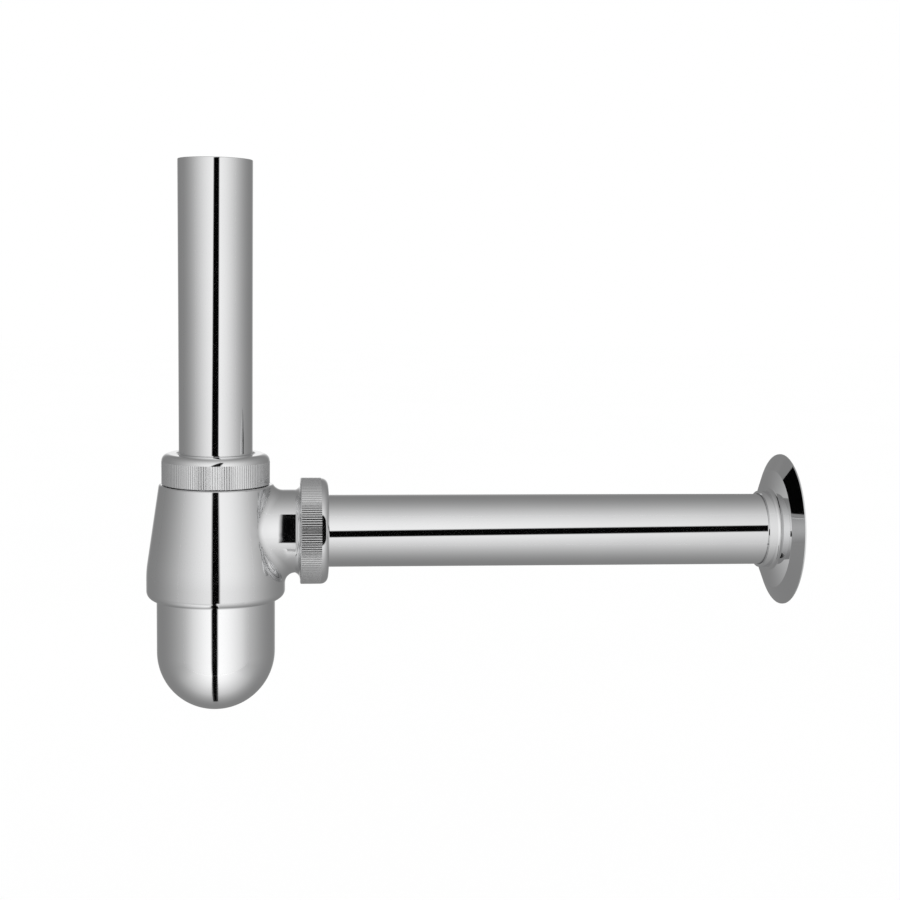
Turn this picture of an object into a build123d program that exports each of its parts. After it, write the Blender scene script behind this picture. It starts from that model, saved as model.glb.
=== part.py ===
# Bottle trap for a washbasin, 1 1/4 inch, in chromed brass.
# Millimetres. The origin is the centre of the inlet tube's top end.
# Z runs up along the inlet tube and X runs along the outlet to the wall.

import math
import os

from build123d import *

# Tubes
TUBE_OD = 32.0
TUBE_WALL = 1.0
TUBE_EDGE_ROUND = 0.3
OUTLET_DROP = 160.6
WALL_REACH = 256.0
OUTLET_TUBE_INSERT = 10.2
OUTLET_TUBE_BACKSET = 2.0

# Water seal: how far the inlet tube dips below the outlet's lowest line
WATER_SEAL = 50.0
DIP_CLEARANCE = 6.6

# Knurled union nuts
NUT_SKIRT = 9.8
NUT_WALL = 2.25
INLET_NUT_LIP = 3.6
OUTLET_NUT_LIP = 2.3
NUT_TOP_ROUND = 3.2
NUT_BOTTOM_CHAMFER = 0.3
NUT_HOLE_CHAMFER = 0.8
KNURL_PITCH = 1.05
KNURL_DEPTH = 0.1
KNURL_GROOVE_SHARE = 0.84

# Threaded spigots, 41.9 mm over the crests: G 1 1/4, 11 threads to the inch
SPIGOT_WALL = 4.55
UNION_THREAD_PITCH = 2.309
UNION_THREAD_DEPTH = 1.479
THREAD_FLAT_SHARE = 0.14

# Tapered seal and flat pressure ring of each union
SEAL_DEPTH = 4.4
SEAL_PROUD = 0.8
SEAL_STEP = 0.56
POCKET_RIM = 0.8
PRESSURE_RING_THICKNESS = 1.2
PRESSURE_RING_PLAY = 0.5

# Cast body: heights count from the neck, widths from the nut and the cup
NECK_WALL = 2.0
NECK_LENGTH = 3.0
NECK_FLARE_LENGTH = 3.4
NECK_FLARE_SINK = 0.25
NECK_BLEND = 4.6
HORN_RADIUS = 30.0
HORN_STEP = 10.0
HORN_INSET = 2.2
NECK_CROWN = 2.5
NECK_HEEL = 10.9
SHOULDER_LEDGE = 1.2
SHOULDER_ROUND = 0.8
TAPER_END = 17.0
TAPER_BLEND = 50.0
SKIRT_WALL = 4.2
SKIRT_ROUND = 3.4
ROOF_WALL = 3.3
CUP_SEAT_WEB = 2.0
CUP_SEAT_WIDTH = 1.8

# Cup
CUP_OD = 51.6
CUP_WALL = 1.5
CUP_THREAD_PITCH = 2.0
CUP_THREAD_DEPTH = 0.65
CUP_SEAL_THICKNESS = 1.55

# Wall flange, spun from sheet
FLANGE_OD = 68.4
FLANGE_SHEET = 1.2
FLANGE_RIM = 0.5
FLANGE_BEVEL_WIDTH = 7.5
FLANGE_BEVEL_RISE = 3.5
FLANGE_FACE_RISE = 1.5
FLANGE_COLLAR = 5.2
FLANGE_RIDGE_ROUND = 0.9
FLANGE_COLLAR_ROUND = 1.8
FLANGE_EDGE_ROUND = 0.3

# Clearances: the first four are radial, the last two lie along the axis
SEAL_FIT = 0.08
TUBE_PLAY = 0.4
THREAD_PLAY = 0.2
FLANGE_PLAY = 0.2
NUT_END_PLAY = 0.2
SEAT_PLAY = 0.05

# Values that follow from the dimensions above
TUBE_R = TUBE_OD / 2
TUBE_BORE_R = TUBE_R - TUBE_WALL
GUIDE_R = TUBE_R + TUBE_PLAY
OUTLET_Z = -OUTLET_DROP
DIP_END_Z = OUTLET_Z - TUBE_BORE_R - WATER_SEAL

UNION_CREST_R = GUIDE_R + SPIGOT_WALL
UNION_ROOT_R = UNION_CREST_R - UNION_THREAD_DEPTH
NUT_BORE_R = UNION_CREST_R + THREAD_PLAY
NUT_R = NUT_BORE_R + NUT_WALL
NUT_LIP_FLOOR = NUT_END_PLAY + NUT_SKIRT
RING_FLOOR = NUT_LIP_FLOOR - SEAT_PLAY - PRESSURE_RING_THICKNESS
SEAL_TOP = RING_FLOOR - SEAT_PLAY
SPIGOT_LENGTH = SEAL_TOP - SEAL_PROUD
SEAL_FLOOR = SPIGOT_LENGTH - SEAL_DEPTH
POCKET_FLOOR = SEAL_FLOOR - SEAT_PLAY
POCKET_BOTTOM_R = GUIDE_R + SEAL_STEP
POCKET_MOUTH_R = UNION_ROOT_R - POCKET_RIM
SEAL_TAPER = (POCKET_MOUTH_R - POCKET_BOTTOM_R) / SEAL_DEPTH
SEAL_BOTTOM_R = POCKET_BOTTOM_R - SEAL_FIT
SEAL_TOP_R = POCKET_MOUTH_R - SEAL_FIT + SEAL_TAPER * SEAL_PROUD

CUP_R = CUP_OD / 2
CUP_BORE_R = CUP_R - CUP_WALL
CUP_ROOT_R = CUP_R - CUP_THREAD_DEPTH
SKIRT_BORE_R = CUP_R + THREAD_PLAY
CUP_SEAT_Z = OUTLET_Z - GUIDE_R - CUP_SEAT_WEB
CUP_RIM_Z = CUP_SEAT_Z - CUP_SEAL_THICKNESS - 2 * SEAT_PLAY
CUP_CENTRE_Z = DIP_END_Z - DIP_CLEARANCE + math.sqrt(CUP_BORE_R**2 - TUBE_R**2)

NECK_R = GUIDE_R + NECK_WALL
FLARE_START_R = NECK_R - NECK_FLARE_SINK
BODY_TOP_R = NUT_R + SHOULDER_LEDGE
BODY_R = SKIRT_BORE_R + SKIRT_WALL
SHOULDER_Z = OUTLET_Z + NECK_R + NECK_CROWN
SKIRT_Z = OUTLET_Z - NECK_R - NECK_HEEL
TAPER_START_Z = SHOULDER_Z + NECK_BLEND
TAPER = (BODY_R - BODY_TOP_R) / (NECK_R + NECK_CROWN + TAPER_END)
TAPER_START_R = BODY_TOP_R - TAPER * NECK_BLEND
CAVITY_R = SKIRT_BORE_R - CUP_SEAT_WIDTH
CAVITY_ROOF_R = BODY_TOP_R - ROOF_WALL
CAVITY_ROOF_Z = SHOULDER_Z - ROOF_WALL
HORN_END_X = BODY_R - HORN_INSET
FLARE_START_X = BODY_R + NECK_LENGTH
FLARE_END_X = FLARE_START_X + NECK_FLARE_LENGTH
OUTLET_TUBE_INNER_X = FLARE_END_X - OUTLET_TUBE_INSERT
OUTLET_TUBE_END_X = WALL_REACH - OUTLET_TUBE_BACKSET

FLANGE_R = FLANGE_OD / 2
FLANGE_RIDGE_R = FLANGE_R - FLANGE_BEVEL_WIDTH
FLANGE_BORE_R = TUBE_R + FLANGE_PLAY
FLANGE_COLLAR_R = FLANGE_BORE_R + FLANGE_SHEET
FLANGE_RIDGE_U = FLANGE_RIM + FLANGE_BEVEL_RISE
FLANGE_FACE_U = FLANGE_RIDGE_U + FLANGE_FACE_RISE
FLANGE_LIP_U = FLANGE_FACE_U + FLANGE_COLLAR

# Planes: each union has a seat whose z axis points out of its spigot
UP = (0, 0, 1)
TO_WALL = (1, 0, 0)
FROM_WALL = (-1, 0, 0)
INLET_SEAT = Plane(origin=(0, 0, SHOULDER_Z), x_dir=TO_WALL, z_dir=UP)
OUTLET_SEAT = Plane(origin=(FLARE_END_X, 0, OUTLET_Z), x_dir=UP, z_dir=TO_WALL)
NECK_PLANE = Plane(origin=(0, 0, OUTLET_Z), x_dir=UP, z_dir=TO_WALL)
WALL_PLANE = Plane(origin=(WALL_REACH, 0, OUTLET_Z), x_dir=UP, z_dir=FROM_WALL)
BOTTLE_SECTION = Plane(origin=(0, 0, 0), x_dir=FROM_WALL, z_dir=(0, 1, 0))
OUTLET_AXIS = Axis((0, 0, OUTLET_Z), TO_WALL)


def half_section(seat):
    """Plane through the seat's axis: its x is the radius, its y runs along the axis."""
    return Plane(origin=seat.origin, x_dir=seat.x_dir, z_dir=-seat.y_dir)


def seat_axis(seat):
    return Axis(seat.origin, seat.z_dir)


def thread_outline(root, crest, low, high, pitch):
    """Points of a thread's crests, one pitch apart, up to the end at the height high."""
    turns = int((high - low) / pitch)
    flat = THREAD_FLAT_SHARE * pitch / 2
    points = [(root, low)]
    for turn in range(turns, 0, -1):
        base = high - turn * pitch
        points.append((root, base + flat))
        points.append((crest, base + pitch / 2 - flat))
        points.append((crest, base + pitch / 2 + flat))
        points.append((root, base + pitch - flat))
    points.append((root, high))
    return points


def spigot_outline():
    """Outline of a threaded spigot from its seat to its mouth."""
    return thread_outline(UNION_ROOT_R, UNION_CREST_R, 0, SPIGOT_LENGTH, UNION_THREAD_PITCH)


def union_bore(low):
    """Half section of a union's guide bore with the seal pocket at its mouth."""
    return [
        (0, low),
        (GUIDE_R, low),
        (GUIDE_R, POCKET_FLOOR),
        (POCKET_BOTTOM_R, POCKET_FLOOR),
        (POCKET_BOTTOM_R, SEAL_FLOOR),
        (POCKET_MOUTH_R, SPIGOT_LENGTH),
        (0, SPIGOT_LENGTH),
    ]


def horn_half_width(inward):
    """Half width of the neck in plan: inwards of the horn's end it spreads along an arc."""
    return NECK_R + HORN_RADIUS - math.sqrt(HORN_RADIUS**2 - inward**2)


def tube(seat, length, label):
    """Plain tube that starts on the seat and runs along its axis."""
    with BuildPart() as sleeve:
        with BuildSketch(seat):
            Circle(TUBE_R)
            Circle(TUBE_BORE_R, mode=Mode.SUBTRACT)
        extrude(amount=length)
        fillet(sleeve.edges().filter_by(GeomType.CIRCLE), radius=TUBE_EDGE_ROUND)
    sleeve.part.label = label
    return sleeve.part


def union_nut(seat, lip, label):
    """Knurled nut: plain bore over the thread, and a lip that closes round the tube."""
    low = NUT_END_PLAY
    high = NUT_LIP_FLOOR + lip
    with BuildPart() as nut:
        with BuildSketch(half_section(seat)):
            with BuildLine():
                Polyline(
                    (NUT_R, high - NUT_TOP_ROUND),
                    (NUT_R, low + NUT_BOTTOM_CHAMFER),
                    (NUT_R - NUT_BOTTOM_CHAMFER, low),
                    (NUT_BORE_R, low),
                    (NUT_BORE_R, NUT_LIP_FLOOR),
                    (GUIDE_R, NUT_LIP_FLOOR),
                    (GUIDE_R, high - NUT_HOLE_CHAMFER),
                    (GUIDE_R + NUT_HOLE_CHAMFER, high),
                    (NUT_R - NUT_TOP_ROUND, high),
                )
                CenterArc((NUT_R - NUT_TOP_ROUND, high - NUT_TOP_ROUND), NUT_TOP_ROUND, 0, 90)
            make_face()
        revolve(axis=seat_axis(seat))
        # Straight knurl: V grooves along the cylindrical band
        grooves = round(2 * math.pi * NUT_R / KNURL_PITCH)
        groove_width = KNURL_GROOVE_SHARE * 2 * math.pi * NUT_R / grooves
        with BuildSketch(seat.offset(low + NUT_BOTTOM_CHAMFER)):
            with PolarLocations(NUT_R, grooves):
                Polygon(
                    (-KNURL_DEPTH, 0),
                    (KNURL_DEPTH, groove_width),
                    (KNURL_DEPTH, -groove_width),
                    align=None,
                )
        extrude(amount=NUT_SKIRT + lip - NUT_BOTTOM_CHAMFER - NUT_TOP_ROUND, mode=Mode.SUBTRACT)
    nut.part.label = label
    return nut.part


def pressure_ring(seat, label):
    """Flat ring between the nut's lip and the seal."""
    with BuildPart() as ring:
        with BuildSketch(seat.offset(RING_FLOOR)):
            Circle(NUT_BORE_R - PRESSURE_RING_PLAY)
            Circle(GUIDE_R, mode=Mode.SUBTRACT)
        extrude(amount=PRESSURE_RING_THICKNESS)
    ring.part.label = label
    return ring.part


def union_seal(seat, label):
    """Tapered rubber ring that the nut presses on to the tube."""
    with BuildPart() as seal:
        with BuildSketch(half_section(seat)):
            with BuildLine():
                Polyline(
                    (TUBE_R + SEAL_FIT, SEAL_FLOOR),
                    (SEAL_BOTTOM_R, SEAL_FLOOR),
                    (SEAL_TOP_R, SEAL_TOP),
                    (TUBE_R + SEAL_FIT, SEAL_TOP),
                    close=True,
                )
            make_face()
        revolve(axis=seat_axis(seat))
    seal.part.label = label
    return seal.part


os.makedirs("parts", exist_ok=True)

# Inlet tube: it hangs from the basin waste and its lower end dips into the cup
inlet_tube = tube(Plane(origin=(0, 0, DIP_END_Z), x_dir=TO_WALL, z_dir=UP), -DIP_END_Z, "inlet_tube")
export_step(inlet_tube, "parts/inlet_tube.step")

# Outlet tube: it slides in the neck and ends behind the wall flange
outlet_tube = tube(
    NECK_PLANE.offset(OUTLET_TUBE_INNER_X), OUTLET_TUBE_END_X - OUTLET_TUBE_INNER_X, "outlet_tube"
)
export_step(outlet_tube, "parts/outlet_tube.step")

# The two unions are alike but for the nuts' lips, so each of their pieces is made once for each seat
inlet_nut = union_nut(INLET_SEAT, INLET_NUT_LIP, "inlet_nut")
export_step(inlet_nut, "parts/inlet_nut.step")
inlet_pressure_ring = pressure_ring(INLET_SEAT, "inlet_pressure_ring")
export_step(inlet_pressure_ring, "parts/inlet_pressure_ring.step")
inlet_seal = union_seal(INLET_SEAT, "inlet_seal")
export_step(inlet_seal, "parts/inlet_seal.step")

outlet_nut = union_nut(OUTLET_SEAT, OUTLET_NUT_LIP, "outlet_nut")
export_step(outlet_nut, "parts/outlet_nut.step")
outlet_pressure_ring = pressure_ring(OUTLET_SEAT, "outlet_pressure_ring")
export_step(outlet_pressure_ring, "parts/outlet_pressure_ring.step")
outlet_seal = union_seal(OUTLET_SEAT, "outlet_seal")
export_step(outlet_seal, "parts/outlet_seal.step")

# Cast body: a tapered bell with a spigot on top and a flared neck at the side
with BuildPart() as trap_body:
    with BuildSketch(BOTTLE_SECTION) as bell_section:
        with BuildLine():
            Polyline(
                (0, TAPER_START_Z),
                (TAPER_START_R, TAPER_START_Z),
                (BODY_R, OUTLET_Z - TAPER_END),
                (BODY_R, SKIRT_Z),
                (0, SKIRT_Z),
                close=True,
            )
        make_face()
        knee = bell_section.vertices().sort_by_distance((BODY_R, OUTLET_Z - TAPER_END))[0]
        fillet(knee, radius=TAPER_BLEND)
        skirt = bell_section.vertices().sort_by_distance((BODY_R, SKIRT_Z))[0]
        fillet(skirt, radius=SKIRT_ROUND)
    revolve(axis=Axis.Z)
    # Neck: a horn that spreads sideways into the bell, then a straight length
    for inward in (2 * HORN_STEP, HORN_STEP, 0):
        with BuildSketch(NECK_PLANE.offset(HORN_END_X - inward)):
            Ellipse(NECK_R, horn_half_width(inward))
    for station in (FLARE_START_X, FLARE_END_X):
        with BuildSketch(NECK_PLANE.offset(station)):
            Ellipse(NECK_R, NECK_R)
    loft()
    # The blend runs out past the shoulder, where it is cut off
    fillet(trap_body.edges(Select.NEW), radius=NECK_BLEND)
    with BuildSketch(Plane.XY.offset(SHOULDER_Z)):
        Circle(FLARE_END_X)
    extrude(amount=NECK_BLEND, mode=Mode.SUBTRACT)
    shoulder = trap_body.faces().sort_by(Axis.Z)[-1]
    fillet(shoulder.edges(), radius=SHOULDER_ROUND)
    # Flare and threaded spigot of the outlet
    with BuildSketch(half_section(OUTLET_SEAT)):
        with BuildLine():
            TangentArc((FLARE_START_R, -NECK_FLARE_LENGTH), (UNION_CREST_R, 0), tangent=(0, 1))
            Polyline(
                (UNION_CREST_R, 0),
                *spigot_outline(),
                (TUBE_R, SPIGOT_LENGTH),
                (TUBE_R, -NECK_FLARE_LENGTH),
                (FLARE_START_R, -NECK_FLARE_LENGTH),
            )
        make_face()
    revolve(axis=OUTLET_AXIS)
    # Threaded spigot of the inlet, rooted in the bell's roof
    with BuildSketch(half_section(INLET_SEAT)):
        with BuildLine():
            Polyline(
                (TUBE_R, -ROOF_WALL / 2),
                (UNION_ROOT_R, -ROOF_WALL / 2),
                *spigot_outline(),
                (TUBE_R, SPIGOT_LENGTH),
                close=True,
            )
        make_face()
    revolve(axis=Axis.Z)
    # Water chamber, the seat of the cup's seal and the skirt's bore
    with BuildSketch(BOTTLE_SECTION):
        with BuildLine():
            Polyline(
                (0, CAVITY_ROOF_Z),
                (CAVITY_ROOF_R, CAVITY_ROOF_Z),
                (CAVITY_R, CUP_SEAT_Z),
                (SKIRT_BORE_R, CUP_SEAT_Z),
                (SKIRT_BORE_R, SKIRT_Z),
                (0, SKIRT_Z),
                close=True,
            )
        make_face()
    revolve(axis=Axis.Z, mode=Mode.SUBTRACT)
    # Bore and tapered seal pocket of each union, from inside the chamber to the spigot's mouth
    with BuildSketch(half_section(INLET_SEAT)):
        with BuildLine():
            Polyline(*union_bore(OUTLET_Z - SHOULDER_Z), close=True)
        make_face()
    revolve(axis=Axis.Z, mode=Mode.SUBTRACT)
    with BuildSketch(half_section(OUTLET_SEAT)):
        with BuildLine():
            Polyline(*union_bore(-FLARE_END_X), close=True)
        make_face()
    revolve(axis=OUTLET_AXIS, mode=Mode.SUBTRACT)
trap_body.part.label = "trap_body"
export_step(trap_body.part, "parts/trap_body.step")

# Cup: it screws up into the skirt and has a half-round bottom
with BuildPart() as cup:
    with BuildSketch(BOTTLE_SECTION):
        with BuildLine():
            CenterArc((0, CUP_CENTRE_Z), CUP_R, -90, 90)
            Polyline(
                (CUP_R, CUP_CENTRE_Z),
                (CUP_R, SKIRT_Z),
                *thread_outline(CUP_ROOT_R, CUP_R, SKIRT_Z, CUP_RIM_Z, CUP_THREAD_PITCH),
                (CUP_BORE_R, CUP_RIM_Z),
                (CUP_BORE_R, CUP_CENTRE_Z),
            )
            CenterArc((0, CUP_CENTRE_Z), CUP_BORE_R, -90, 90)
            Line((0, CUP_CENTRE_Z - CUP_BORE_R), (0, CUP_CENTRE_Z - CUP_R))
        make_face()
    revolve(axis=Axis.Z)
cup.part.label = "cup"
export_step(cup.part, "parts/cup.step")

# Flat rubber ring on the cup's rim
with BuildPart() as cup_seal:
    with BuildSketch(Plane.XY.offset(CUP_RIM_Z + SEAT_PLAY)):
        Circle(CUP_R)
        Circle(CUP_BORE_R, mode=Mode.SUBTRACT)
    extrude(amount=CUP_SEAL_THICKNESS)
cup_seal.part.label = "cup_seal"
export_step(cup_seal.part, "parts/cup_seal.step")

# Wall flange: collar round the tube, shallow face, ridge and bevelled rim, hollow behind
with BuildPart() as wall_flange:
    with BuildSketch(half_section(WALL_PLANE)) as flange_section:
        with BuildLine():
            Polyline(
                (FLANGE_R, 0),
                (FLANGE_R, FLANGE_RIM),
                (FLANGE_RIDGE_R, FLANGE_RIDGE_U),
                (FLANGE_COLLAR_R, FLANGE_FACE_U),
                (FLANGE_COLLAR_R, FLANGE_LIP_U),
                (FLANGE_BORE_R, FLANGE_LIP_U),
                (FLANGE_BORE_R, FLANGE_FACE_U - FLANGE_SHEET),
                (FLANGE_RIDGE_R, FLANGE_RIDGE_U - FLANGE_SHEET),
                (FLANGE_R - FLANGE_SHEET, 0),
                close=True,
            )
        make_face()
        rim = flange_section.vertices().sort_by_distance((FLANGE_R, FLANGE_RIM))[0]
        fillet(rim, radius=FLANGE_EDGE_ROUND)
        ridge = flange_section.vertices().sort_by_distance((FLANGE_RIDGE_R, FLANGE_RIDGE_U))[0]
        fillet(ridge, radius=FLANGE_RIDGE_ROUND)
        hollow = flange_section.vertices().sort_by_distance((FLANGE_COLLAR_R, FLANGE_FACE_U))[0]
        fillet(hollow, radius=FLANGE_COLLAR_ROUND)
        lip = flange_section.vertices().sort_by_distance((FLANGE_COLLAR_R, FLANGE_LIP_U))[0]
        fillet(lip, radius=FLANGE_EDGE_ROUND)
    revolve(axis=OUTLET_AXIS)
wall_flange.part.label = "wall_flange"
export_step(wall_flange.part, "parts/wall_flange.step")
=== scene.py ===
"""Sink bottle trap in chromed brass: finishes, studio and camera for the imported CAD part."""

import math
from collections import namedtuple

import bmesh
import bpy
from mathutils import Matrix, Vector


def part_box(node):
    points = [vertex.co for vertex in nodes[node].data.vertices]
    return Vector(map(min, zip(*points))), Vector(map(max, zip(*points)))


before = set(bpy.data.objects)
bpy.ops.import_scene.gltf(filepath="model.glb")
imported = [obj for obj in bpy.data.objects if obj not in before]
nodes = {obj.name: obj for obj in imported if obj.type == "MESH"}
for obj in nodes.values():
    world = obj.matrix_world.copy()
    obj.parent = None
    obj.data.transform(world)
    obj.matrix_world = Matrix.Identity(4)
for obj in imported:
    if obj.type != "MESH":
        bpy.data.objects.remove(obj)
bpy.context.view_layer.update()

# Lengths are metres in the part's own frame: X to the wall, Z up the inlet tube
OUTLET_AXIS_Z = (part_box("outlet_tube")[0].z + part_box("outlet_tube")[1].z) / 2

# Camera, fitted to the photograph's outline
CAMERA_PLACE = (0.023957, -0.657405, -0.050065)
CAMERA_YAW = math.radians(6.841)
CAMERA_PITCH = math.radians(6.422)
CAMERA_ROLL = math.radians(-0.892)
CAMERA_LENS_MM = 60.0
CAMERA_SENSOR_MM = 36.0
CAMERA_CLIP_START = 0.01

# Share of a noise texture's range that the finishes use
NOISE_LOW = 0.3
NOISE_HIGH = 0.7

# Chrome: its grey, how the tint varies, and the size of the clouds, the polish marks and the ripple
CHROME_GREY = 0.82
CHROME_DARKER = (0.985, 0.988, 0.995)
CHROME_LIGHTER = (1.005, 1.008, 1.012)
CHROME_CLOUD_SCALE = 35.0
CHROME_POLISH_SCALE = 180.0
CHROME_RIPPLE_SCALE = 60.0
CHROME_RIPPLE_HEIGHT = 0.0002

# Roughness and ripple of each kind of chromed piece
Finish = namedtuple("Finish", "rough_low rough_high ripple")
TUBE_FINISH = Finish(rough_low=0.03, rough_high=0.05, ripple=0.02)
CASTING_FINISH = Finish(rough_low=0.035, rough_high=0.06, ripple=0.04)
SHEET_FINISH = Finish(rough_low=0.04, rough_high=0.06, ripple=0.03)
NUT_BAND_FINISH = Finish(rough_low=0.24, rough_high=0.32, ripple=0.03)

# The nuts are satin on the knurled band and polished on the round at their outer end
NUT_ROUND = 0.0032
NUT_ROUND_ROUGH = 0.08
NUT_POLISH_EDGE = 0.0003

# Rubber of the seals
RUBBER_DARKER = (0.018, 0.018, 0.019)
RUBBER_LIGHTER = (0.034, 0.033, 0.033)
RUBBER_SPECK_SCALE = 900.0
RUBBER_ROUGH_LOW = 0.55
RUBBER_ROUGH_HIGH = 0.75
RUBBER_BUMP = 0.2
RUBBER_BUMP_HEIGHT = 0.0001

# Plastic of the pressure rings
PLASTIC_DARKER = (0.66, 0.66, 0.64)
PLASTIC_LIGHTER = (0.74, 0.74, 0.72)
PLASTIC_CLOUD_SCALE = 220.0
PLASTIC_ROUGH_LOW = 0.38
PLASTIC_ROUGH_HIGH = 0.5

# Floor: half a metre below the outlet, as under a washbasin
FLOOR_Z = OUTLET_AXIS_Z - 0.5
FLOOR_HALF = 14.0
FLOOR_DARKER = (0.996, 0.996, 0.996)
FLOOR_LIGHTER = (1.0, 1.0, 1.0)
FLOOR_CLOUD_SCALE = 2.0

# Light tent round the bottle's axis
TENT_CENTRE = Vector((0.0, 0.0, OUTLET_AXIS_Z))
TENT_RADIUS = 1.4
TENT_SEGMENTS = 144
TENT_RINGS = 72
TENT_FLOOR_GAP = 0.04
TENT_FRONT = 1.03
TENT_BACK = 0.245
TENT_FALLOFF = 2.6
TENT_BRIGHT_AXIS = Vector((0.10, -0.97, 0.17)).normalized()

# Black card round the camera; a softbox in front of it leaves a slit dark, which draws a line in the chrome
CARD_Y = -0.50
CARD_LEFT = -0.95
CARD_RIGHT = 1.15
CARD_LOW_Z = OUTLET_AXIS_Z - 0.42
CARD_HIGH_Z = OUTLET_AXIS_Z + 0.70
CARD_BEHIND_LAMP = 0.001
CARD_BLACK = (0.0, 0.0, 0.0)
CARD_FIBRE = (0.002, 0.002, 0.002)
CARD_FIBRE_SCALE = 400.0

# Slits: centre and half width at the tent's centre, and how both change along the slit
Slit = namedtuple("Slit", "centre lean half widening")
TUBE_SLIT = Slit(centre=0.004, lean=0.24, half=0.088, widening=-0.068)
BODY_SLIT = Slit(centre=0.010, lean=0.0, half=0.056, widening=0.0)
CUP_SLIT = Slit(centre=-0.008, lean=0.0, half=0.052, widening=0.0)
LEVEL_SLIT = Slit(centre=-0.039, lean=0.33, half=0.088, widening=0.0)
NUT_SLIT = Slit(centre=0.13, lean=0.0, half=0.33, widening=0.0)
FLOOR_SLIT = Slit(centre=-0.007, lean=0.002, half=0.020, widening=-0.063)
SLIT_SOFTNESS = 0.014

# Right of this line, where only the neck looks, the body's slit ends above the floor
NECK_SIDE_X = 0.026
NECK_SIDE_SOFTNESS = 0.006
NECK_SIDE_END = -0.215

# Extra glow from below, in the cup's softbox and on the floor
LOW_GLOW = 0.50
LOW_GLOW_FALLOFF = 7.0
LOW_GLOW_AXIS = Vector((0.03, -0.64, -0.77)).normalized()
LOW_GLOW_SIDE_FADE = 0.50

# Softboxes on the floor under the bottle, and the black strip that draws the line under the cup
FLOOR_BOX_HALF = 0.90
FLOOR_BOX_BACK = 0.24
FLOOR_BOX_BACK_FADE = 0.30
FLOOR_STRIP_END_Y = 0.08
BODY_FLOOR_BOX_RIGHT = 0.06
BODY_LOW_GLOW_RIGHT = 0.03
BODY_LOW_GLOW_FADE = 0.11

# Black card at the left behind the object, seen only in the flange's bevel
SIDE_CARD_X = -0.45
SIDE_CARD_NEAR = 0.20
SIDE_CARD_FAR = 0.84
SIDE_CARD_LOW_Z = OUTLET_AXIS_Z - 0.10
SIDE_CARD_HIGH_Z = OUTLET_AXIS_Z + 0.46

# Softbox at the left behind the object, which brightens the flange's face towards its ridge
FLANGE_BOX_Y = 0.80
FLANGE_BOX_LEFT = -1.00
FLANGE_BOX_FULL = -0.45
FLANGE_BOX_RIGHT = 0.10
FLANGE_BOX_BELOW_OUTLET = 0.45
FLANGE_BOX_ABOVE_OUTLET = 0.25
FLANGE_BOX_FADE = 0.15
FLANGE_GLOW = 0.45
FLANGE_GLOW_FALLOFF = 2.0

# Softbox straight behind the object; the camera sees it only at the very edges of the round pieces
BACK_BOX_Y = 1.00
BACK_BOX_HALF = 0.60
BACK_GLOW = 0.95
BACK_GLOW_FALLOFF = 50.0
BACK_GLOW_AXIS = Vector((0.0, 1.0, 0.0))

# Turns that make a lamp, which shines down its own axis, face one way
FACE_BACK = (math.radians(90.0), 0.0, 0.0)
FACE_FRONT = (math.radians(-90.0), 0.0, 0.0)
FACE_UP = (math.radians(180.0), 0.0, 0.0)
FACE_WALL = (0.0, math.radians(-90.0), 0.0)


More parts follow.
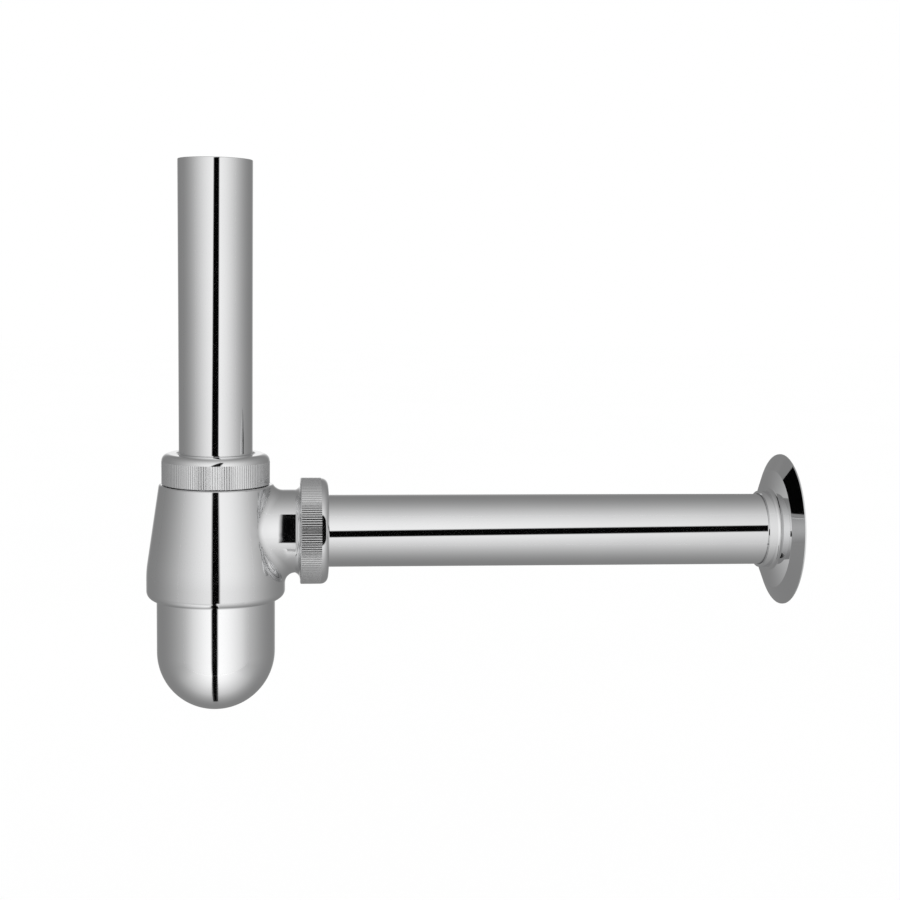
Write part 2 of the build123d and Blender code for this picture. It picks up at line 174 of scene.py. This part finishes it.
class Shading:
    """Node tree of a material or a lamp, with the steps that the shaders here are made of."""

    def __init__(self, tree):
        self.tree = tree

    def node(self, kind):
        return self.tree.nodes.new(kind)

    def feed(self, value, socket):
        """Link a socket to another one, or set it to a plain value."""
        if isinstance(value, bpy.types.NodeSocket):
            self.tree.links.new(value, socket)
        else:
            socket.default_value = value

    def combine(self, operation, first, second):
        node = self.node("ShaderNodeMath")
        node.operation = operation
        self.feed(first, node.inputs[0])
        self.feed(second, node.inputs[1])
        return node.outputs["Value"]

    def product(self, first, *others):
        for other in others:
            first = self.combine("MULTIPLY", first, other)
        return first

    def add(self, first, second):
        return self.combine("ADD", first, second)

    def subtract(self, first, second):
        return self.combine("SUBTRACT", first, second)

    def vector(self, operation, first):
        """Vector step whose second input, if it has one, is left to the caller."""
        node = self.node("ShaderNodeVectorMath")
        node.operation = operation
        self.feed(first, node.inputs[0])
        return node

    def map_range(self, value, start, end, low, high):
        node = self.node("ShaderNodeMapRange")
        self.feed(value, node.inputs["Value"])
        self.feed(start, node.inputs["From Min"])
        self.feed(end, node.inputs["From Max"])
        self.feed(low, node.inputs["To Min"])
        self.feed(high, node.inputs["To Max"])
        return node.outputs["Result"]

    def ramp(self, value, start, end):
        """0 up to the start, 1 from the end on."""
        return self.map_range(value, start, end, 0.0, 1.0)

    def split(self, vector):
        node = self.node("ShaderNodeSeparateXYZ")
        self.feed(vector, node.inputs["Vector"])
        return node.outputs

    def own_place(self):
        """Place in the piece's own coordinates."""
        return self.node("ShaderNodeTexCoord").outputs["Object"]

    def place(self):
        """Place in the studio, counted from the tent's centre."""
        position = self.node("ShaderNodeNewGeometry").outputs["Position"]
        offset = self.vector("SUBTRACT", position)
        self.feed(TENT_CENTRE, offset.inputs[1])
        return offset.outputs["Vector"]

    def noise(self, scale, detail):
        texture = self.node("ShaderNodeTexNoise")
        self.feed(self.own_place(), texture.inputs["Vector"])
        self.feed(scale, texture.inputs["Scale"])
        self.feed(detail, texture.inputs["Detail"])
        return texture.outputs["Fac"]

    def spread(self, noise, low, high):
        """Map a noise value to the range from low to high."""
        return self.map_range(noise, NOISE_LOW, NOISE_HIGH, low, high)

    def tone(self, noise, low, high):
        """Blend between two colours by a noise value."""
        blend = self.node("ShaderNodeValToRGB")
        first, last = blend.color_ramp.elements
        first.position = NOISE_LOW
        first.color = (*low, 1.0)
        last.position = NOISE_HIGH
        last.color = (*high, 1.0)
        self.feed(noise, blend.inputs["Fac"])
        return blend.outputs["Color"]

    def bump(self, noise, strength, height):
        node = self.node("ShaderNodeBump")
        self.feed(strength, node.inputs["Strength"])
        self.feed(height, node.inputs["Distance"])
        self.feed(noise, node.inputs["Height"])
        return node.outputs["Normal"]

    def surface(self, kind):
        """Shader that is linked to the material's output."""
        output = self.node("ShaderNodeOutputMaterial")
        shader = self.node(kind)
        self.feed(shader.outputs[0], output.inputs["Surface"])
        return shader

    def principled(self, color, roughness):
        shader = self.surface("ShaderNodeBsdfPrincipled")
        self.feed(color, shader.inputs["Base Color"])
        self.feed(roughness, shader.inputs["Roughness"])
        return shader

    def shine(self, strength):
        """Set how brightly a lamp glows at each place."""
        self.feed(strength, self.tree.nodes["Emission"].inputs["Strength"])


def new_material(name):
    material = bpy.data.materials.new(name)
    material.use_nodes = True
    material.node_tree.nodes.clear()
    return material, Shading(material.node_tree)


def chrome_shader(shading, finish):
    """Chrome plate: nearly even tone, a polish that varies a little and a faint ripple."""
    cloud = shading.noise(CHROME_CLOUD_SCALE, detail=3.0)
    darker = [CHROME_GREY * share for share in CHROME_DARKER]
    lighter = [CHROME_GREY * share for share in CHROME_LIGHTER]
    polish = shading.noise(CHROME_POLISH_SCALE, detail=4.0)
    roughness = shading.spread(polish, finish.rough_low, finish.rough_high)
    shader = shading.principled(shading.tone(cloud, darker, lighter), roughness)
    shading.feed(1.0, shader.inputs["Metallic"])
    wave = shading.noise(CHROME_RIPPLE_SCALE, detail=1.0)
    shading.feed(shading.bump(wave, finish.ripple, CHROME_RIPPLE_HEIGHT), shader.inputs["Normal"])
    return shader, roughness


def chrome(name, finish):
    material, shading = new_material(name)
    chrome_shader(shading, finish)
    return material


def nut_chrome(name, axis, round_start):
    """Chrome of a knurled nut: satin on the band, polished from the start of its round on."""
    material, shading = new_material(name)
    shader, band_roughness = chrome_shader(shading, NUT_BAND_FINISH)
    along = shading.split(shading.own_place())[axis]
    on_round = shading.ramp(along, round_start - NUT_POLISH_EDGE, round_start + NUT_POLISH_EDGE)
    blend = shading.node("ShaderNodeMix")
    shading.feed(on_round, blend.inputs["Factor"])
    shading.feed(band_roughness, blend.inputs["A"])
    shading.feed(NUT_ROUND_ROUGH, blend.inputs["B"])
    shading.feed(blend.outputs["Result"], shader.inputs["Roughness"])
    return material


def rubber(name):
    material, shading = new_material(name)
    speck = shading.noise(RUBBER_SPECK_SCALE, detail=4.0)
    color = shading.tone(speck, RUBBER_DARKER, RUBBER_LIGHTER)
    shader = shading.principled(color, shading.spread(speck, RUBBER_ROUGH_LOW, RUBBER_ROUGH_HIGH))
    shading.feed(shading.bump(speck, RUBBER_BUMP, RUBBER_BUMP_HEIGHT), shader.inputs["Normal"])
    return material


def plastic(name):
    material, shading = new_material(name)
    cloud = shading.noise(PLASTIC_CLOUD_SCALE, detail=3.0)
    color = shading.tone(cloud, PLASTIC_DARKER, PLASTIC_LIGHTER)
    shading.principled(color, shading.spread(cloud, PLASTIC_ROUGH_LOW, PLASTIC_ROUGH_HIGH))
    return material


def dull(name, scale, darker, lighter):
    """Surface without any gloss, for the floor and the cards."""
    material, shading = new_material(name)
    color = shading.tone(shading.noise(scale, detail=2.0), darker, lighter)
    shader = shading.principled(color, 1.0)
    shading.feed(0.0, shader.inputs["Specular IOR Level"])
    return material


def finish_node(name, material):
    """Give a CAD node its finish through its own material slots."""
    slots = nodes[name].data.materials
    if len(slots) == 0:
        slots.append(material)
    for index in range(len(slots)):
        slots[index] = material


def stage_mesh(name, vertices, faces, material):
    """Mesh that belongs to the studio and not to the object."""
    mesh = bpy.data.meshes.new(name)
    mesh.from_pydata(vertices, [], faces)
    mesh.materials.append(material)
    thing = bpy.data.objects.new(name, mesh)
    bpy.context.scene.collection.objects.link(thing)
    return thing


def only_in_reflections(thing):
    """Studio gear that stands outside the picture and shows only in polished metal."""
    thing.visible_camera = False
    thing.visible_diffuse = False
    thing.visible_transmission = False
    thing.visible_shadow = False


def floor():
    corners = [
        (-FLOOR_HALF, -FLOOR_HALF, FLOOR_Z),
        (FLOOR_HALF, -FLOOR_HALF, FLOOR_Z),
        (FLOOR_HALF, FLOOR_HALF, FLOOR_Z),
        (-FLOOR_HALF, FLOOR_HALF, FLOOR_Z),
    ]
    material = dull("pale_floor", FLOOR_CLOUD_SCALE, FLOOR_DARKER, FLOOR_LIGHTER)
    stage_mesh("floor", corners, [(0, 1, 2, 3)], material)


def towards(shading, place, axis, falloff):
    """1 in the direction of the axis, falling off evenly to 0 in the opposite one."""
    direction = shading.vector("NORMALIZE", place).outputs["Vector"]
    facing = shading.vector("DOT_PRODUCT", direction)
    shading.feed(axis, facing.inputs[1])
    share = shading.ramp(facing.outputs["Value"], -1.0, 1.0)
    return shading.combine("POWER", share, falloff)


def cloth_glow(shading, place):
    """Brightness of the tent's cloth: most towards the camera, least at the back."""
    share = towards(shading, place, TENT_BRIGHT_AXIS, TENT_FALLOFF)
    return shading.map_range(share, 0.0, 1.0, TENT_BACK, TENT_FRONT)


def low_glow(shading, place, left, right, right_fade):
    """Extra glow from below that fades out to the left and the right."""
    lobe = towards(shading, place, LOW_GLOW_AXIS, LOW_GLOW_FALLOFF)
    x = shading.split(place)["X"]
    from_left = shading.ramp(x, left, left + LOW_GLOW_SIDE_FADE)
    from_right = shading.ramp(x, right, right - right_fade)
    return shading.product(lobe, LOW_GLOW, from_left, from_right)


def outside_slit(shading, across, along, slit):
    """0 inside a slit that runs along one axis, 1 outside it."""
    middle = shading.add(shading.product(along, slit.lean), slit.centre)
    half = shading.add(shading.product(along, slit.widening), slit.half)
    offset = shading.combine("ABSOLUTE", shading.subtract(across, middle), 0.0)
    return shading.ramp(shading.subtract(offset, half), -SLIT_SOFTNESS, SLIT_SOFTNESS)


def neck_side(shading, x):
    """1 right of the line where only the neck looks, 0 left of it."""
    return shading.ramp(x, NECK_SIDE_X - NECK_SIDE_SOFTNESS, NECK_SIDE_X + NECK_SIDE_SOFTNESS)


def tent():
    """Round tent with a flat bottom just above the floor."""
    shell = bmesh.new()
    bmesh.ops.create_uvsphere(shell, u_segments=TENT_SEGMENTS, v_segments=TENT_RINGS, radius=TENT_RADIUS)
    lowest = FLOOR_Z + TENT_FLOOR_GAP - TENT_CENTRE.z
    for vertex in shell.verts:
        vertex.co.z = max(vertex.co.z, lowest)
    material, shading = new_material("tent_cloth")
    cloth = shading.surface("ShaderNodeEmission")
    shading.feed(cloth_glow(shading, shading.place()), cloth.inputs["Strength"])
    thing = stage_mesh("tent", [], [], material)
    shell.to_mesh(thing.data)
    shell.free()
    thing.location = TENT_CENTRE
    only_in_reflections(thing)


def card(name, corners, material):
    only_in_reflections(stage_mesh(name, corners, [(0, 1, 2, 3)], material))


def cards():
    black = dull("black_card", CARD_FIBRE_SCALE, CARD_BLACK, CARD_FIBRE)
    camera_card_y = CARD_Y - CARD_BEHIND_LAMP
    card(
        "card_round_camera",
        [
            (CARD_LEFT, camera_card_y, CARD_LOW_Z),
            (CARD_RIGHT, camera_card_y, CARD_LOW_Z),
            (CARD_RIGHT, camera_card_y, CARD_HIGH_Z),
            (CARD_LEFT, camera_card_y, CARD_HIGH_Z),
        ],
        black,
    )
    strip = []
    for y, sides in ((CARD_Y, (-1, 1)), (FLOOR_STRIP_END_Y, (1, -1))):
        middle = FLOOR_SLIT.centre + FLOOR_SLIT.lean * y
        half = FLOOR_SLIT.half + FLOOR_SLIT.widening * y
        strip.extend((middle + side * half, y, CARD_LOW_Z) for side in sides)
    card("card_on_floor", strip, black)
    side_card_x = SIDE_CARD_X - CARD_BEHIND_LAMP
    card(
        "card_at_side",
        [
            (side_card_x, SIDE_CARD_NEAR, SIDE_CARD_LOW_Z),
            (side_card_x, SIDE_CARD_FAR, SIDE_CARD_LOW_Z),
            (side_card_x, SIDE_CARD_FAR, SIDE_CARD_HIGH_Z),
            (side_card_x, SIDE_CARD_NEAR, SIDE_CARD_HIGH_Z),
        ],
        black,
    )


def receivers(name, *members):
    """Pieces that a softbox lights."""
    group = bpy.data.collections.new(name)
    for member in members:
        group.objects.link(nodes[member])
    return group


def softbox(name, centre, size, turn, group):
    """Soft light that only one group of pieces shows; a strength of 1 in its shader is white."""
    lamp = bpy.data.lights.new(name, "AREA")
    lamp.shape = "RECTANGLE"
    lamp.size, lamp.size_y = size
    lamp.energy = math.pi * lamp.size * lamp.size_y
    lamp.use_nodes = True
    thing = bpy.data.objects.new(name, lamp)
    thing.location = centre
    thing.rotation_euler = turn
    thing.visible_camera = False
    bpy.context.scene.collection.objects.link(thing)
    thing.light_linking.receiver_collection = group
    return Shading(lamp.node_tree)


def front_softbox(name, group):
    """Softbox that covers the card round the camera."""
    centre = ((CARD_LEFT + CARD_RIGHT) / 2, CARD_Y, (CARD_LOW_Z + CARD_HIGH_Z) / 2)
    size = (CARD_RIGHT - CARD_LEFT, CARD_HIGH_Z - CARD_LOW_Z)
    return softbox(name, centre, size, FACE_BACK, group)


def plain_softbox(name, group):
    """Front softbox without a slit."""
    lamp = front_softbox(name, group)
    lamp.shine(cloth_glow(lamp, lamp.place()))


def upright_softbox(name, group, slit):
    """Front softbox with an upright slit."""
    lamp = front_softbox(name, group)
    place = lamp.place()
    spot = lamp.split(place)
    lamp.shine(lamp.product(cloth_glow(lamp, place), outside_slit(lamp, spot["X"], spot["Z"], slit)))


def level_softbox(name, group, slit):
    """Front softbox with a slit that runs to the right."""
    lamp = front_softbox(name, group)
    place = lamp.place()
    spot = lamp.split(place)
    lamp.shine(lamp.product(cloth_glow(lamp, place), outside_slit(lamp, spot["Z"], spot["X"], slit)))


def body_softbox(group):
    """Front softbox with an upright slit that ends higher on the neck's side."""
    lamp = front_softbox("softbox_body", group)
    place = lamp.place()
    spot = lamp.split(place)
    below_end = lamp.ramp(spot["Z"], NECK_SIDE_END + SLIT_SOFTNESS, NECK_SIDE_END - SLIT_SOFTNESS)
    past_end = lamp.product(below_end, neck_side(lamp, spot["X"]))
    aside = outside_slit(lamp, spot["X"], spot["Z"], BODY_SLIT)
    lamp.shine(lamp.product(cloth_glow(lamp, place), lamp.combine("MAXIMUM", aside, past_end)))


def cup_softbox(group):
    """Front softbox with an upright slit and the glow from below."""
    lamp = front_softbox("softbox_cup", group)
    place = lamp.place()
    spot = lamp.split(place)
    extra = low_glow(lamp, place, CARD_LEFT, CARD_RIGHT, LOW_GLOW_SIDE_FADE)
    glow = lamp.add(cloth_glow(lamp, place), extra)
    lamp.shine(lamp.product(glow, outside_slit(lamp, spot["X"], spot["Z"], CUP_SLIT)))


def floor_softbox(name, group, right):
    """Softbox on the floor under the bottle."""
    centre = ((right - FLOOR_BOX_HALF) / 2, (CARD_Y + FLOOR_BOX_BACK) / 2, CARD_LOW_Z + CARD_BEHIND_LAMP)
    size = (right + FLOOR_BOX_HALF, FLOOR_BOX_BACK - CARD_Y)
    return softbox(name, centre, size, FACE_UP, group)


def floor_glow(lamp, place, right, right_fade):
    """Glow from below on the floor, which fades out to the back too."""
    from_back = lamp.ramp(lamp.split(place)["Y"], FLOOR_BOX_BACK, FLOOR_BOX_BACK - FLOOR_BOX_BACK_FADE)
    return lamp.product(low_glow(lamp, place, -FLOOR_BOX_HALF, right, right_fade), from_back)


def cup_floor_softbox(group):
    """It leaves the black strip on the floor dark."""
    lamp = floor_softbox("softbox_floor_cup", group, FLOOR_BOX_HALF)
    place = lamp.place()
    spot = lamp.split(place)
    glow = floor_glow(lamp, place, FLOOR_BOX_HALF, LOW_GLOW_SIDE_FADE)
    lamp.shine(lamp.product(glow, outside_slit(lamp, spot["X"], spot["Y"], FLOOR_SLIT)))


def body_floor_softbox(group):
    """It stops left of the neck and covers the black strip on the neck's side."""
    lamp = floor_softbox("softbox_floor_body", group, BODY_FLOOR_BOX_RIGHT)
    place = lamp.place()
    spot = lamp.split(place)
    aside = outside_slit(lamp, spot["X"], spot["Y"], FLOOR_SLIT)
    glow = lamp.product(floor_glow(lamp, place, BODY_LOW_GLOW_RIGHT, BODY_LOW_GLOW_FADE), aside)
    on_strip = lamp.subtract(1.0, aside)
    cover = lamp.product(on_strip, neck_side(lamp, spot["X"]), cloth_glow(lamp, place))
    lamp.shine(lamp.add(glow, cover))


def flange_softbox(group):
    """Softbox behind the object that grows brighter to the left."""
    centre = (
        (FLANGE_BOX_LEFT + FLANGE_BOX_RIGHT) / 2,
        FLANGE_BOX_Y,
        OUTLET_AXIS_Z + (FLANGE_BOX_ABOVE_OUTLET - FLANGE_BOX_BELOW_OUTLET) / 2,
    )
    size = (FLANGE_BOX_RIGHT - FLANGE_BOX_LEFT, FLANGE_BOX_ABOVE_OUTLET + FLANGE_BOX_BELOW_OUTLET)
    lamp = softbox("softbox_flange_back", centre, size, FACE_FRONT, group)
    spot = lamp.split(lamp.place())
    leftward = lamp.ramp(spot["X"], FLANGE_BOX_RIGHT, FLANGE_BOX_FULL)
    glow = lamp.product(lamp.combine("POWER", leftward, FLANGE_GLOW_FALLOFF), FLANGE_GLOW)
    from_below = lamp.ramp(spot["Z"], -FLANGE_BOX_BELOW_OUTLET, FLANGE_BOX_FADE - FLANGE_BOX_BELOW_OUTLET)
    from_above = lamp.ramp(spot["Z"], FLANGE_BOX_ABOVE_OUTLET, FLANGE_BOX_ABOVE_OUTLET - FLANGE_BOX_FADE)
    lamp.shine(lamp.product(glow, from_below, from_above))


def side_softbox(group):
    """It covers the side card for all pieces but the flange."""
    centre = (SIDE_CARD_X, (SIDE_CARD_NEAR + SIDE_CARD_FAR) / 2, (SIDE_CARD_LOW_Z + SIDE_CARD_HIGH_Z) / 2)
    size = (SIDE_CARD_HIGH_Z - SIDE_CARD_LOW_Z, SIDE_CARD_FAR - SIDE_CARD_NEAR)
    lamp = softbox("softbox_side", centre, size, FACE_WALL, group)
    lamp.shine(cloth_glow(lamp, lamp.place()))


def back_softbox(group):
    """Softbox behind the object that fades out to its edges."""
    centre = (TENT_CENTRE.x, BACK_BOX_Y, TENT_CENTRE.z)
    size = (2 * BACK_BOX_HALF, 2 * BACK_BOX_HALF)
    lamp = softbox("softbox_back", centre, size, FACE_FRONT, group)
    lamp.shine(lamp.product(towards(lamp, lamp.place(), BACK_GLOW_AXIS, BACK_GLOW_FALLOFF), BACK_GLOW))


def camera():
    forward = Vector(
        (
            math.sin(CAMERA_YAW) * math.cos(CAMERA_PITCH),
            math.cos(CAMERA_YAW) * math.cos(CAMERA_PITCH),
            -math.sin(CAMERA_PITCH),
        )
    )
    level_right = Vector((math.cos(CAMERA_YAW), -math.sin(CAMERA_YAW), 0.0))
    level_down = forward.cross(level_right)
    right = math.cos(CAMERA_ROLL) * level_right + math.sin(CAMERA_ROLL) * level_down
    down = math.cos(CAMERA_ROLL) * level_down - math.sin(CAMERA_ROLL) * level_right
    data = bpy.data.cameras.new("camera")
    data.sensor_width = CAMERA_SENSOR_MM
    data.lens = CAMERA_LENS_MM
    data.clip_start = CAMERA_CLIP_START
    thing = bpy.data.objects.new("camera", data)
    turn = Matrix((right, -down, -forward)).transposed()
    thing.matrix_world = Matrix.Translation(CAMERA_PLACE) @ turn.to_4x4()
    bpy.context.scene.collection.objects.link(thing)
    bpy.context.scene.camera = thing


def white_world():
    world = bpy.data.worlds.new("white_world")
    world.use_nodes = True
    background = world.node_tree.nodes["Background"]
    background.inputs["Color"].default_value = (1.0, 1.0, 1.0, 1.0)
    background.inputs["Strength"].default_value = 1.0
    bpy.context.scene.world = world


# Finishes
tube_chrome = chrome("tube_chrome", TUBE_FINISH)
casting_chrome = chrome("casting_chrome", CASTING_FINISH)
sheet_chrome = chrome("sheet_chrome", SHEET_FINISH)
inlet_round_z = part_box("inlet_nut")[1].z - NUT_ROUND
inlet_nut_chrome = nut_chrome("inlet_nut_chrome", "Z", inlet_round_z)
outlet_round_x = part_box("outlet_nut")[1].x - NUT_ROUND
outlet_nut_chrome = nut_chrome("outlet_nut_chrome", "X", outlet_round_x)
seal_rubber = rubber("seal_rubber")
ring_plastic = plastic("ring_plastic")

finish_node("inlet_tube", tube_chrome)
finish_node("outlet_tube", tube_chrome)
finish_node("trap_body", casting_chrome)
finish_node("cup", casting_chrome)
finish_node("inlet_nut", inlet_nut_chrome)
finish_node("outlet_nut", outlet_nut_chrome)
finish_node("wall_flange", sheet_chrome)
finish_node("inlet_seal", seal_rubber)
finish_node("outlet_seal", seal_rubber)
finish_node("cup_seal", seal_rubber)
finish_node("inlet_pressure_ring", ring_plastic)
finish_node("outlet_pressure_ring", ring_plastic)

# Studio
white_world()
floor()
tent()
cards()
upright_softbox("softbox_tube", receivers("upright_pieces", "inlet_tube", "inlet_nut"), TUBE_SLIT)
body_piece = receivers("body_piece", "trap_body")
body_softbox(body_piece)
body_floor_softbox(body_piece)
cup_piece = receivers("cup_piece", "cup")
cup_softbox(cup_piece)
cup_floor_softbox(cup_piece)
level_softbox("softbox_outlet_nut", receivers("outlet_nut_piece", "outlet_nut"), NUT_SLIT)
level_softbox("softbox_outlet_tube", receivers("outlet_tube_piece", "outlet_tube"), LEVEL_SLIT)
flange_piece = receivers("flange_piece", "wall_flange")
plain_softbox("softbox_flange", flange_piece)
flange_softbox(flange_piece)
pieces_but_flange = receivers(
    "pieces_but_flange", "inlet_tube", "inlet_nut", "trap_body", "cup", "outlet_nut", "outlet_tube"
)
side_softbox(pieces_but_flange)
back_softbox(pieces_but_flange)
camera()
bpy.context.scene.view_settings.view_transform = "Standard"
